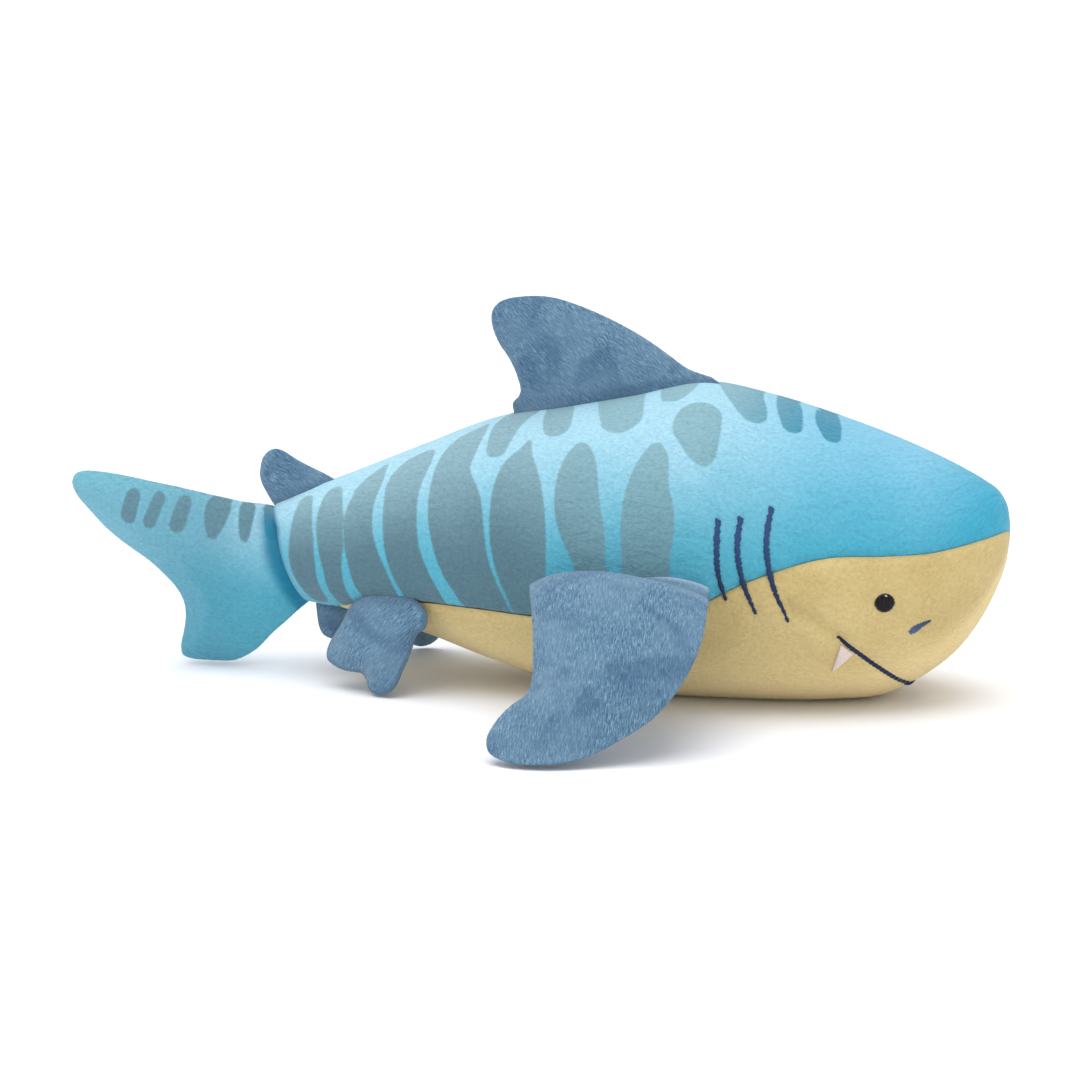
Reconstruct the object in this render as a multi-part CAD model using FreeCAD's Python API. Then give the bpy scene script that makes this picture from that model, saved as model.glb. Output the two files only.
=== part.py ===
"""Plush shark: a stuffed torso with a sewn-on tail and seven sewn-on fins.

Frame: millimetres, +X towards the nose, +Z up, belly resting on Z = 0.
The shark is symmetric about Y = 0; its right side is -Y.
"""
import FreeCAD, Part
import math
import os

V = FreeCAD.Vector

# ---------------------------------------------------------------- dimensions
SHELL = 2.0             # pile fabric with its backing, torso and tail
FIN_SHELL = 1.6         # the shorter fabric of the fins
GROOVE = 0.7            # how deep the seams lie below the pile
SEAM_WIDTH = 1.0        # width of a line of seam stitching
FIT = 0.5               # a stuffing's loose outer fibres, next to the fabric
THREAD_RISE = 0.8       # embroidery stands this far above the fabric
THREAD_SINK = 0.4       # and is stitched this far into it
FELT_RISE = 1.6         # thickness of a felt tooth over the fabric
BEAD = 0.6              # radius of the rolled seam a fin swings on
WEB = 0.5               # half thickness of the fabric strip below that seam
AXIS_LIFT = 2.1         # a fin's seam stands this far off the torso
STRIP_DEPTH = 6.0       # how far down a fin's strip is drawn before the torso trims it
HIDDEN = 0.25           # a hollow that has closed up, at the end of a panel

CREASE_TILT = 0.378     # the tail seam leans back by this much per mm of height
TILT_START = -40.0      # the torso's sections start to lean behind here
TAIL_X = -109.5         # middle of the tail seam
TAIL_MID = 52.5

LOWER_ROUND = 2.25      # squareness of the underside (2 = ellipse)
UPPER_ROUND = 1.9       # the back is slightly ridged
WIDEST = 0.43           # widest point, as a part of the section's height

# Torso stations: x, top, bottom, half width, height of the side seam.
TORSO = [
    (-109.5, 73.0, 32.0, 2.6, 32.0),
    (-108.0, 75.0, 31.2, 9.0, 31.2),
    (-104.0, 77.0, 30.8, 15.0, 30.8),
    (-95.0, 81.0, 30.2, 20.5, 30.2),
    (-75.0, 90.2, 27.5, 28.0, 34.5),
    (-45.0, 105.5, 20.5, 37.5, 39.5),
    (-15.0, 117.5, 10.5, 46.0, 40.0),
    (15.0, 124.5, 2.5, 53.0, 39.5),
    (45.0, 130.5, -1.5, 58.0, 42.0),
    (78.0, 136.5, -2.0, 60.0, 47.5),
    (105.0, 131.5, -2.0, 58.5, 61.0),
    (135.0, 123.0, -1.0, 53.5, 70.5),
    (160.0, 114.4, 2.5, 46.0, 70.8),
    (178.0, 107.0, 12.5, 38.0, 71.2),
    (190.0, 101.3, 23.0, 30.0, 73.0),
    (199.0, 96.4, 36.0, 22.5, 74.8),
    (205.2, 92.0, 49.0, 15.0, 75.8),
    (209.8, 84.0, 62.0, 7.0, 75.8),
]

# Tail slices, fanning from the lower lobe to the upper one:
# front x, front z, rear x, rear z, half thickness.
TAIL = [
    (-138.0, 1.2, -155.0, 1.2, 1.6),
    (-131.0, 3.4, -160.5, 3.6, 6.0),
    (-125.5, 9.0, -162.0, 9.0, 9.0),
    (-120.0, 16.0, -161.5, 16.0, 10.5),
    (-113.0, 23.5, -161.0, 24.5, 11.5),
    (-106.2, 31.0, -164.0, 33.0, 12.0),
    (-109.6, 42.0, -171.5, 43.5, 12.0),
    (-113.4, 52.0, -182.0, 54.0, 12.0),
    (-116.6, 60.5, -193.5, 64.5, 11.5),
    (-119.1, 67.0, -203.0, 73.5, 10.0),
    (-120.8, 71.2, -208.5, 80.0, 7.8),
    (-122.6, 74.0, -209.6, 84.5, 5.0),
    (-126.0, 76.4, -206.0, 88.6, 1.4),
]

# Fin rows: distance from the seam it swings on, rear edge, front edge, half thickness.
DORSAL = [
    (1.3, 1.5, 83.0, 1.0),
    (5.0, 1.8, 78.0, 4.8),
    (10.0, 1.8, 71.5, 7.2),
    (19.0, 0.8, 62.0, 8.5),
    (27.0, -1.8, 53.5, 8.5),
    (35.0, -3.4, 43.0, 8.0),
    (41.0, -3.0, 33.0, 6.0),
    (44.5, 0.5, 24.5, 3.5),
    (46.4, 6.0, 16.0, 1.2),
]
REAR_DORSAL = [
    (1.3, 1.5, 27.0, 1.0),
    (4.0, -0.8, 24.5, 3.4),
    (8.0, -2.6, 21.0, 4.6),
    (12.5, -2.0, 16.8, 4.6),
    (16.8, 0.6, 13.3, 3.2),
    (19.8, 5.0, 9.5, 1.0),
]
ANAL = [
    (1.3, 1.0, 26.0, 1.0),
    (4.0, 1.4, 24.5, 3.0),
    (7.0, 2.3, 21.5, 3.8),
    (10.2, 3.8, 18.0, 3.4),
    (13.4, 6.5, 13.5, 1.0),
]
PELVIC = [
    (1.3, 6.0, 38.0, 1.0),
    (5.0, 5.0, 41.0, 4.2),
    (11.0, 2.5, 41.5, 5.8),
    (18.0, -1.0, 40.0, 6.2),
    (24.0, -2.0, 38.0, 5.8),
    (29.5, 1.0, 35.5, 5.0),
    (34.0, 13.0, 32.0, 3.8),
    (37.2, 18.0, 27.5, 1.2),
]
# Pectoral rows follow an arch: y, z, rear x, front x, half thickness, skew.
# The skew turns a row from square across the shark (0) to along its seam (1).
PECTORAL = [
    (-60.8, 47.6, 14.0, 85.0, 1.0, 1.0),
    (-68.0, 52.8, 13.8, 86.5, 3.9, 0.8),
    (-78.0, 58.0, 15.0, 88.5, 8.0, 0.5),
    (-92.0, 56.0, 18.0, 90.5, 9.0, 0.2),
    (-106.0, 46.0, 21.0, 91.0, 8.5, 0.0),
    (-118.0, 33.0, 22.0, 87.0, 7.5, 0.0),
    (-128.0, 20.0, 16.0, 77.0, 6.5, 0.0),
    (-136.5, 9.5, 9.0, 61.0, 4.8, 0.0),
    (-143.0, 2.8, 12.0, 46.0, 1.6, 0.0),
]
PECTORAL_MID_X = 50.0

# Line on the torso below the seam each fin swings on: rear end, front end.
DORSAL_ROOT = (V(-6, 0, 122.7), V(81, 0, 137.6))
REAR_DORSAL_ROOT = (V(-112.5, 0, 77.3), V(-84, 0, 89.6))
ANAL_ROOT = (V(-98, 0, 30.9), V(-71, 0, 27.6))
PELVIC_ROOT = (V(-81, -21.6, 39.0), V(-41, -35.9, 40.5))
PECTORAL_ROOT = (V(13, -54.2, 45.0), V(86, -61.4, 47.0))
PELVIC_LIFT = V(0, -0.87, -0.5)     # way the pelvic seam stands off the torso
PELVIC_HANG = V(0, -0.34, -0.94)    # way the pelvic fins hang
PECTORAL_LIFT = V(0, -0.876, 0.482)

# Embroidery on the right side: centre line (x, z) and thread width.
GILLS = {
    "gill_rear": [(90.2, 86, 3.0), (90, 76, 2.8), (91, 64, 2.4), (94.5, 52.5, 1.4)],
    "gill_middle": [(99.5, 87, 3.0), (98.6, 76, 2.8), (101, 62, 2.4), (107, 47, 1.4)],
    "gill_front": [(112, 91, 3.0), (110.6, 78, 2.8), (113, 62.5, 2.4), (120.5, 44, 1.4)],
}
NOSTRIL = [(171.0, 37.5, 3.0), (174.5, 40.2, 2.4), (179.0, 41.8, 1.0)]
MOUTH = [
    (140.8, 36.6, 1.4),
    (146.5, 31.8, 2.0),
    (152.5, 26.2, 2.2),
    (159.5, 19.8, 2.2),
    (166.5, 12.6, 2.2),
    (177.0, 2.0, 2.2),
]
TOOTH = [(143.0, 32.2), (148.0, 28.2), (138.6, 20.2)]
EYE = (160.0, 51.2, 4.2)
EYE_RISE = 1.2


# ------------------------------------------------------------------- helpers
def curve(points):
    """One smooth edge through the points."""
    spline = Part.BSplineCurve()
    spline.interpolate(points)
    return spline.toShape()


def ring(points):
    """A closed smooth wire through the points."""
    spline = Part.BSplineCurve()
    spline.interpolate(points, True)
    return Part.Wire([spline.toShape()])


def loft(wires):
    """A solid skinned through closed wires."""
    return Part.makeLoft(wires, True, False)


def mirrored(shape):
    """The same shape on the shark's left side."""
    return shape.mirror(V(0, 0, 0), V(0, 1, 0))


def power(value, exponent):
    """A signed power, for rounded-off sections."""
    return math.copysign(abs(value) ** exponent, value)


def save(name, shape):
    """Write one node's STEP file."""
    shape.exportStep("parts/" + name + ".step")


# --------------------------------------------------------------------- torso
def lean(x):
    """How much a section leans at station x: nothing ahead, CREASE_TILT at the tail."""
    amount = (TILT_START - x) / (TILT_START - TAIL_X)
    amount = min(max(amount, 0.0), 1.0)
    return CREASE_TILT * amount * amount * (3.0 - 2.0 * amount)


def inner_station(station, inset):
    """The station moved inwards by the inset, closing up at both ends."""
    x, top, bottom, half, seam = station
    middle = (top + bottom) / 2.0
    floor = max(bottom, 0.0) if x > 0 else bottom
    top_in = max(top - inset, middle + HIDDEN)
    bottom_in = min(floor + inset, middle - HIDDEN)
    half_in = max(half - inset, HIDDEN)
    if inset >= SHELL and x in (TORSO[0][0], TORSO[-1][0]):
        top_in, bottom_in, half_in = middle + HIDDEN * 4, middle - HIDDEN * 4, HIDDEN
    return (x, top_in, bottom_in, half_in, seam)


def section_point(station, angle):
    """Point of a torso section; angle 0 is the belly, pi the back, + the right side."""
    x, top, bottom, half, _ = station
    widest = bottom + WIDEST * (top - bottom)
    rounding = LOWER_ROUND if math.cos(angle) > 0 else UPPER_ROUND
    reach = widest - bottom if math.cos(angle) > 0 else top - widest
    y = -half * power(math.sin(angle), 2.0 / rounding)
    z = widest - reach * power(math.cos(angle), 2.0 / rounding)
    return V(x - lean(x) * (z - TAIL_MID), y, z)


def seam_angle(station):
    """Section angle at which the side seam lies."""
    _, top, bottom, _, seam = station
    widest = bottom + WIDEST * (top - bottom)
    if seam <= bottom:
        return 0.0
    if seam < widest:
        return math.acos(((widest - seam) / (widest - bottom)) ** (LOWER_ROUND / 2.0))
    return math.pi - math.acos(((seam - widest) / (top - widest)) ** (UPPER_ROUND / 2.0))


def arc(station, start, end, count):
    """Points along a section between two angles."""
    step = (end - start) / (count - 1)
    return [section_point(station, start + step * i) for i in range(count)]


def torso_solid(inset, stations=TORSO, count=28):
    """The whole torso as one solid, inset from its surface."""
    wires = []
    for station in stations:
        inner = inner_station(station, inset) if inset > 0 else outset_station(station, -inset)
        points = [section_point(inner, 2.0 * math.pi * i / count) for i in range(count)]
        wires.append(ring(points))
    return loft(wires)


def outset_station(station, rise):
    """The station grown outwards."""
    x, top, bottom, half, seam = station
    return (x, top + rise, bottom - rise, half + rise, seam)


def strip_wire(station, start, end, outer_inset, inner_inset, count):
    """Closed wire round the wall of a section between two angles."""
    outer = arc(inner_station(station, outer_inset) if outer_inset > 0 else station, start, end, count)
    inner = arc(inner_station(station, inner_inset), start, end, count)
    inner.reverse()
    sides = [Part.makeLine(outer[-1], inner[0]), Part.makeLine(inner[-1], outer[0])]
    return Part.Wire([curve(outer), sides[0], curve(inner), sides[1]])


def half_seam(station):
    """Half of a seam's width as an angle of this section."""
    girth = (station[3] + station[1] - station[2]) / 2.0
    return 0.5 * SEAM_WIDTH / max(girth * 0.75, 4.0)


def seam_middle(station):
    """Angle of the side seam's middle line; near the tail the two sides meet below."""
    return max(seam_angle(station), half_seam(station))


def back_limits(station):
    """Angles between which a blue back panel runs."""
    gap = half_seam(station)
    return seam_middle(station) + gap, math.pi - gap


def back_panel():
    """The right back panel: side seam up to the seam along the back."""
    wires = []
    for station in TORSO:
        start, end = back_limits(station)
        wires.append(strip_wire(station, start, end, 0.0, SHELL, 13))
    return loft(wires)


def belly_stations():
    """The stations the cream belly panel covers: it ends in a point near the tail."""
    return [station for station in TORSO if station[4] > station[2]]


def belly_panel():
    """The cream belly panel, flattened where it rests on the floor."""
    wires = []
    x, top, bottom, half, _ = TORSO[3]
    point = (x, top, bottom, half, bottom + 0.6)
    for station in [point] + belly_stations():
        edge = seam_angle(station) - half_seam(station)
        edge = max(edge, 0.06)
        wires.append(strip_wire(station, -edge, edge, 0.0, SHELL, 15))
    panel = loft(wires)
    below = Part.makeBox(600, 300, 20, V(-300, -150, -20))
    return panel.cut(below)


def seam_strip(limits, count=3):
    """A recessed line of stitching; limits(station) gives its two angles."""
    wires = []
    for station in TORSO:
        start, end = limits(station)
        wires.append(strip_wire(station, start, end, GROOVE, SHELL, count))
    return loft(wires)


def side_seam_limits(station):
    """Angles of the stitching between back and belly."""
    middle = seam_middle(station)
    gap = half_seam(station)
    return middle - gap, middle + gap


def back_seam_limits(station):
    """Angles of the stitching along the back."""
    gap = half_seam(station)
    return math.pi - gap, math.pi + gap


# ---------------------------------------------------------------- embroidery
def ribbon(line):
    """A tapering flat shape along (x, z, width) points, pushed through the right side."""
    left, right = [], []
    for i, (x, z, width) in enumerate(line):
        before = line[max(i - 1, 0)]
        after = line[min(i + 1, len(line) - 1)]
        dx, dz = after[0] - before[0], after[1] - before[1]
        length = math.hypot(dx, dz)
        nx, nz = -dz / length * width / 2.0, dx / length * width / 2.0
        left.append(V(x + nx, 0, z + nz))
        right.append(V(x - nx, 0, z - nz))
    right.reverse()
    edges = [curve(left), Part.makeLine(left[-1], right[0]), curve(right), Part.makeLine(right[-1], left[0])]
    return Part.Face(Part.Wire(edges))


def polygon(corners):
    """A flat face with straight edges from (x, z) corners."""
    points = [V(x, 0, z) for x, z in corners]
    return Part.Face(Part.makePolygon(points + [points[0]]))


def disc(centre_x, centre_z, radius):
    """A flat round face."""
    circle = Part.makeCircle(radius, V(centre_x, 0, centre_z), V(0, 1, 0))
    return Part.Face(Part.Wire([circle]))


def stitched(face, layer, both_sides=False):
    """The part of a layer over the torso that lies under the face's outline."""
    start = V(0, 100 if both_sides else -1, 0)
    face = face.copy()
    face.translate(start)
    return layer.common(face.extrude(V(0, -200 if both_sides else -100, 0)))


# ---------------------------------------------------------------------- fins
def lens_wire(origin, along, normal, rear, front, half, side, margin):
    """Half of a lens-shaped section (side +1 or -1), hollow when a margin is given."""
    def edge_line(a, b, thick):
        points = []
        for i in range(9):
            angle = math.pi * i / 8.0
            u = (a + b) / 2.0 - (b - a) / 2.0 * math.cos(angle)
            bulge = math.sin(angle) ** 0.85 if 0 < i < 8 else 0.0
            points.append(origin + along * u + normal * (side * thick * bulge))
        return points
    outer = edge_line(rear, front, half)
    inset = min(margin, (front - rear) / 2.0 - HIDDEN)
    inner = edge_line(rear + inset, front - inset, max(half - margin, HIDDEN / 2.0))
    inner.reverse()
    edges = [
        curve(outer), Part.makeLine(outer[-1], inner[0]),
        curve(inner), Part.makeLine(inner[-1], outer[0]),
    ]
    return Part.Wire(edges)


def lens_ring(origin, along, normal, rear, front, half):
    """A whole lens-shaped section as a closed wire of two edges."""
    sides = []
    for side in (1, -1):
        points = []
        for i in range(9):
            angle = math.pi * i / 8.0
            u = (rear + front) / 2.0 - (front - rear) / 2.0 * math.cos(angle)
            bulge = math.sin(angle) ** 0.85 if 0 < i < 8 else 0.0
            points.append(origin + along * u + normal * (side * half * bulge))
        sides.append(points)
    sides[1].reverse()
    return Part.Wire([curve(sides[0]), curve(sides[1])])


def fin_panels(sections, shell):
    """The two fabric panels and the stuffing through (origin, along, normal, rear, front, half)."""
    panels = []
    for side in (1, -1):
        panels.append(loft([lens_wire(*section, side, shell) for section in sections]))
    filling = []
    for origin, along, normal, rear, front, half in sections[1:-1]:
        margin = shell + FIT
        if half - margin > HIDDEN:
            filling.append(lens_ring(origin, along, normal, rear + margin, front - margin, half - margin))
    return panels[0], panels[1], loft(filling)


def square_to(direction, along):
    """The direction with its part along the seam taken out, at unit length."""
    return (direction - along * direction.dot(along)).normalize()


def swing_seam(root, lift):
    """Two ends of the seam a fin swings on, standing off the torso."""
    along = (root[1] - root[0]).normalize()
    away = square_to(lift, along) * AXIS_LIFT
    return root[0] + away, root[1] + away


def flat_fin(rows, root, lift, out):
    """Sections of a fin that stands straight out from its seam."""
    start, end = swing_seam(root, lift)
    along = (end - start).normalize()
    out = square_to(out, along)
    normal = along.cross(out)
    return [(start + out * v, along, normal, rear, front, half) for v, rear, front, half in rows]


def arched_fin(rows, root):
    """Sections of the pectoral fin, which rises from its seam and then droops."""
    seam = (root[1] - root[0]).normalize()
    sections = []
    for i, (y, z, rear, front, half, skew) in enumerate(rows):
        before, after = rows[max(i - 1, 0)], rows[min(i + 1, len(rows) - 1)]
        along = (V(1, 0, 0) * (1.0 - skew) + seam * skew).normalize()
        out = square_to(V(0, after[0] - before[0], after[1] - before[1]), along)
        middle = V(PECTORAL_MID_X, y, z)
        sections.append((
            middle, along, along.cross(out),
            rear - PECTORAL_MID_X, front - PECTORAL_MID_X, half,
        ))
    return sections


def root_seam(root, lift, torso, trim=3.0):
    """The rolled seam a fin swings on, with the strip that ties it into the torso."""
    start, end = swing_seam(root, lift)
    along = (end - start).normalize()
    away = square_to(lift, along)
    length = (end - start).Length - 2.0 * trim
    top = start + along * trim
    bead = Part.makeCylinder(BEAD, length, top, along)
    normal = along.cross(away) * WEB
    deep = top - away * (AXIS_LIFT + STRIP_DEPTH)
    corners = [top + normal, top - normal, deep - normal, deep + normal]
    strip = Part.Face(Part.makePolygon(corners + [corners[0]])).extrude(along * length)
    return bead.fuse(strip).cut(torso).removeSplitter()


# ---------------------------------------------------------------------- tail
def tail_sections():
    """Slices of the tail, fanning from the lower lobe to the upper one."""
    sections = []
    for front_x, front_z, rear_x, rear_z, half in TAIL:
        rear, front = V(rear_x, 0, rear_z), V(front_x, 0, front_z)
        chord = (front - rear).Length
        sections.append((rear, (front - rear).normalize(), V(0, 1, 0), 0.0, chord, half))
    return sections


# --------------------------------------------------------------------- build
def build_torso():
    """Panels, stuffing and seams of the torso."""
    panel = back_panel()
    save("back_panel_right", panel)
    save("back_panel_left", mirrored(panel))
    save("belly_panel", belly_panel())
    save("body_stuffing", torso_solid(SHELL + FIT, TORSO[1:-1]))
    side = seam_strip(side_seam_limits)
    save("side_seam_right", side)
    save("side_seam_left", mirrored(side))
    save("back_seam", seam_strip(back_seam_limits))


def build_face(sunk):
    """Eyes, nostrils, mouth, gills and teeth."""
    thread_layer = torso_solid(-THREAD_RISE).cut(sunk)
    mouth = stitched(ribbon(MOUTH), thread_layer, both_sides=True)
    save("mouth_stitching", mouth)
    for name, line in GILLS.items():
        shape = stitched(ribbon(line), thread_layer)
        save(name + "_right", shape)
        save(name + "_left", mirrored(shape))
    nostril = stitched(ribbon(NOSTRIL), thread_layer)
    save("nostril_right", nostril)
    save("nostril_left", mirrored(nostril))
    eye = stitched(disc(*EYE), torso_solid(-EYE_RISE).cut(sunk))
    save("eye_right", eye)
    save("eye_left", mirrored(eye))
    tooth = stitched(polygon(TOOTH), torso_solid(-FELT_RISE).cut(sunk)).cut(mouth)
    save("tooth_right", tooth)
    save("tooth_left", mirrored(tooth))


def save_fin(name, sections, sides):
    """Write a fin's two panels, named by the way they face, and its stuffing."""
    first, second, filling = fin_panels(sections, FIN_SHELL)
    save(name + "_panel_" + sides[0], first)
    save(name + "_panel_" + sides[1], second)
    save(name + "_stuffing", filling)


def save_fin_pair(name, sections, sides):
    """The same for a fin with a twin on the left side."""
    shapes = fin_panels(sections, FIN_SHELL)
    for label, shape in zip(("panel_" + sides[0], "panel_" + sides[1], "stuffing"), shapes):
        save(name + "_right_" + label, shape)
        save(name + "_left_" + label, mirrored(shape))


def build_fins(torso):
    """All seven fins with their root seams."""
    up = V(0, 0, 1)
    save_fin("dorsal_fin", flat_fin(DORSAL, DORSAL_ROOT, up, up), ("right", "left"))
    save("dorsal_root_seam", root_seam(DORSAL_ROOT, up, torso))
    save_fin("rear_dorsal_fin", flat_fin(REAR_DORSAL, REAR_DORSAL_ROOT, up, up), ("right", "left"))
    save("rear_dorsal_root_seam", root_seam(REAR_DORSAL_ROOT, up, torso))
    save_fin("anal_fin", flat_fin(ANAL, ANAL_ROOT, -up, -up), ("left", "right"))
    save("anal_root_seam", root_seam(ANAL_ROOT, -up, torso))

    save_fin_pair("pelvic_fin", flat_fin(PELVIC, PELVIC_ROOT, PELVIC_LIFT, PELVIC_HANG), ("inner", "outer"))
    seam = root_seam(PELVIC_ROOT, PELVIC_LIFT, torso)
    save("pelvic_root_seam_right", seam)
    save("pelvic_root_seam_left", mirrored(seam))

    save_fin_pair("pectoral_fin", arched_fin(PECTORAL, PECTORAL_ROOT), ("lower", "upper"))
    seam = root_seam(PECTORAL_ROOT, PECTORAL_LIFT, torso)
    save("pectoral_root_seam_right", seam)
    save("pectoral_root_seam_left", mirrored(seam))


def build_tail(torso):
    """The tail and the seam it sways on."""
    first, second, filling = fin_panels(tail_sections(), SHELL)
    save("tail_panel_left", first)
    save("tail_panel_right", second)
    save("tail_stuffing", filling)
    low = V(TAIL_X + CREASE_TILT * 20.0, 0, TAIL_MID - 20.0)
    high = V(TAIL_X - CREASE_TILT * 20.0, 0, TAIL_MID + 20.0)
    back = V(-1, 0, -CREASE_TILT)
    save("tail_root_seam", root_seam((low, high), back, torso, trim=1.5))


def main():
    """Build every node."""
    os.makedirs("parts", exist_ok=True)
    torso = torso_solid(0.0)
    sunk = torso_solid(THREAD_SINK)
    build_torso()
    build_face(sunk)
    build_fins(torso)
    build_tail(torso)


main()
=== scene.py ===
"""Looks of the plush shark: pile fabric, stuffed fins, embroidery, camera and light.

Shapes are worked out in millimetres in the row frame and scaled to metres when meshes are made.
"""

import math

import bpy
import numpy as np
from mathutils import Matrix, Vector
from mathutils.geometry import delaunay_2d_cdt


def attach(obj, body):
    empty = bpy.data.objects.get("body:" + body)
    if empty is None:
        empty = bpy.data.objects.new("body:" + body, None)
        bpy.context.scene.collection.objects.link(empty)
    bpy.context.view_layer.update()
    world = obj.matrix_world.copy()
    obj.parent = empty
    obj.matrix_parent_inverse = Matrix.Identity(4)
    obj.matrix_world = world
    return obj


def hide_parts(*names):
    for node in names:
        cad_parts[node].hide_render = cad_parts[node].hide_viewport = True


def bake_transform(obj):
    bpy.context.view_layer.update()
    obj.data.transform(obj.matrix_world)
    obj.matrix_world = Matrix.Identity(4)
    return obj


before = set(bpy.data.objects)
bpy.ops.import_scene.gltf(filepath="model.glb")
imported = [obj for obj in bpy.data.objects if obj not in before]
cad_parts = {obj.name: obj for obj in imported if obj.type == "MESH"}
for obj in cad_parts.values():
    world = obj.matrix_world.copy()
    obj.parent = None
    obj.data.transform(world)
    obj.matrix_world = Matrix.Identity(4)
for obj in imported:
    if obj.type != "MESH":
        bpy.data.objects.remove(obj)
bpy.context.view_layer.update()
MM = 0.001

# ---- dimensions
# The torso's end leans back over the tail seam and bulges a little below its middle.
CREASE_TILT = 0.378
CREASE_BULGE, BULGE_LEVEL, BULGE_REACH = 3.0, -6.5, 19.0
TILT_START, TAIL_X, TAIL_MID = -40.0, -109.5, 52.5
# Sections are superellipses: exponents below and above the widest level, and that level's share.
LOWER_ROUND, UPPER_ROUND, WIDEST = 2.25, 1.9, 0.43

# Torso stations: x, top, bottom, half width, height of the side seam.
TORSO = np.array([
    (-110.2, 71.0, 34.0, 1.0, 34.0),
    (-109.3, 73.4, 31.8, 5.5, 31.8),
    (-107.5, 75.2, 31.2, 10.0, 31.2),
    (-104.0, 77.0, 30.8, 15.0, 30.8),
    (-95.0, 81.0, 30.2, 20.5, 30.2),
    (-75.0, 90.2, 27.5, 28.0, 34.5),
    (-45.0, 105.5, 20.5, 37.5, 39.5),
    (-15.0, 117.5, 10.5, 46.0, 40.0),
    (15.0, 124.5, 2.5, 53.0, 39.5),
    (45.0, 130.5, -1.5, 58.0, 42.0),
    (78.0, 136.0, -2.0, 60.0, 47.5),
    (105.0, 131.5, -2.0, 58.5, 61.0),
    (135.0, 123.0, -1.0, 53.5, 70.5),
    (160.0, 114.4, 2.5, 46.0, 70.8),
    (178.0, 107.0, 12.5, 38.0, 71.2),
    (190.0, 101.3, 23.0, 30.0, 73.0),
    (199.0, 96.4, 36.0, 22.5, 74.8),
    (205.2, 92.0, 49.0, 15.0, 75.8),
    (208.8, 86.0, 60.0, 8.0, 76.2),
    (210.2, 79.0, 70.0, 1.0, 74.5),
])
STATION_COUNT = 250
BACK_COUNT, BELLY_COUNT = 58, 76
CROWDING = 0.035  # how much closer the points stand near a panel's edges

# How the sewn edges sink into the pile, and the puckers that the thread pulls beside them.
SEAM_DEPTH, SPINE_DEPTH, SEAM_WIDTH = 1.5, 0.7, 1.5
ROLL_DEPTH, ROLL_WIDTH = 0.5, 5.0
PUCKER_DEPTH, PUCKER_AWAY, PUCKER_WIDTH = 0.28, 3.0, 3.0
MOST_GROOVE = 0.2  # no groove is deeper than this share of the panel's girth

# Printed stripes on the torso: (x, angle in degrees, half width in mm) along each one.
STRIPES = [
    [(-99, 151, 3.4), (-99.5, 134, 4.8), (-99.5, 116, 6.0), (-99, 98, 6.6), (-97, 76, 5.6),
     (-92, 45, 4.0)],
    [(-85.5, 149, 4.2), (-86, 135, 5.8), (-85.5, 120, 6.3), (-84.5, 104, 5.7), (-83.5, 86, 4.5),
     (-82, 66, 4.3), (-79, 48, 4.0)],
    [(-63, 160, 1.6), (-66.5, 147, 4.5), (-70.5, 135, 6.2), (-71.8, 122, 6.8), (-71, 109, 7.0),
     (-68.5, 95, 7.6), (-65, 80, 8.8), (-60, 62, 9.0)],
    [(-62.5, 162, 1.2), (-69.5, 152, 1.9), (-75, 144, 1.0)],
    [(-43, 157, 3.6), (-47, 151, 7.2), (-50.5, 143, 8.6), (-52, 128, 8.0), (-51.5, 114, 8.0),
     (-49.5, 98, 8.0), (-45.5, 85, 8.4), (-40.5, 73, 9.0), (-35, 60, 9.0)],
    [(-17.5, 168, 1.5), (-20.5, 163, 4.0), (-25, 156, 7.4), (-28, 147, 8.4), (-29.6, 139, 8.4),
     (-28.8, 130, 10.0), (-26.4, 120, 12.2), (-24, 107, 12.2), (-21.5, 97, 11.6), (-17, 87, 10.6),
     (-11, 76, 10.4), (-6, 64, 10.0)],
    [(5, 149, 0.8), (3, 142, 3.6), (1.3, 134, 8.0), (1.6, 126, 10.8), (2.5, 117, 12.3), (3.5, 107, 12.6),
     (5, 97, 11.6), (7, 88, 9.6), (9, 79, 8.0)],
    [(-1, 176, 7.5), (-7, 163, 6.8), (-8.8, 154, 5.8), (-9.8, 147, 4.8)],
    [(28.3, 141, 3.8), (28.2, 137, 6.4), (28.2, 131, 8.6), (28.4, 124, 9.6), (29.4, 118, 9.9),
     (31.5, 112, 9.6), (34, 106, 8.4), (36, 99, 7.0), (38, 88, 6.0)],
    [(61.2, 137, 3.8), (61, 133, 6.4), (60, 128, 8.0), (59.2, 122, 9.4), (60, 115, 11.2),
     (60.5, 109, 11.4), (60.2, 102, 10.4), (60.3, 94, 10.4), (60, 82, 10.0)],
    [(15, 172, 6.0), (15.5, 161, 6.6), (16, 155, 6.0)],
    [(42, 178, 10.5), (43, 164, 10.0), (44.6, 155, 9.2)],
    [(67.5, 180, 8.4), (66.6, 169, 7.0), (65.8, 165, 5.6)],
    [(78.5, 150.5, 9.8), (78, 147.5, 10.4), (79.6, 142, 8.6), (81.5, 136, 6.0), (82.6, 133.5, 3.8)],
    [(93, 180, 10.0), (95.8, 169, 8.4), (99.3, 161, 7.0), (101.2, 157, 5.6)],
    [(113.5, 179, 4.8), (116, 164, 5.4), (117.6, 156, 4.4)],
    [(131, 176, 4.8), (132.5, 164, 5.4), (134.3, 157, 4.0)],
]

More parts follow.
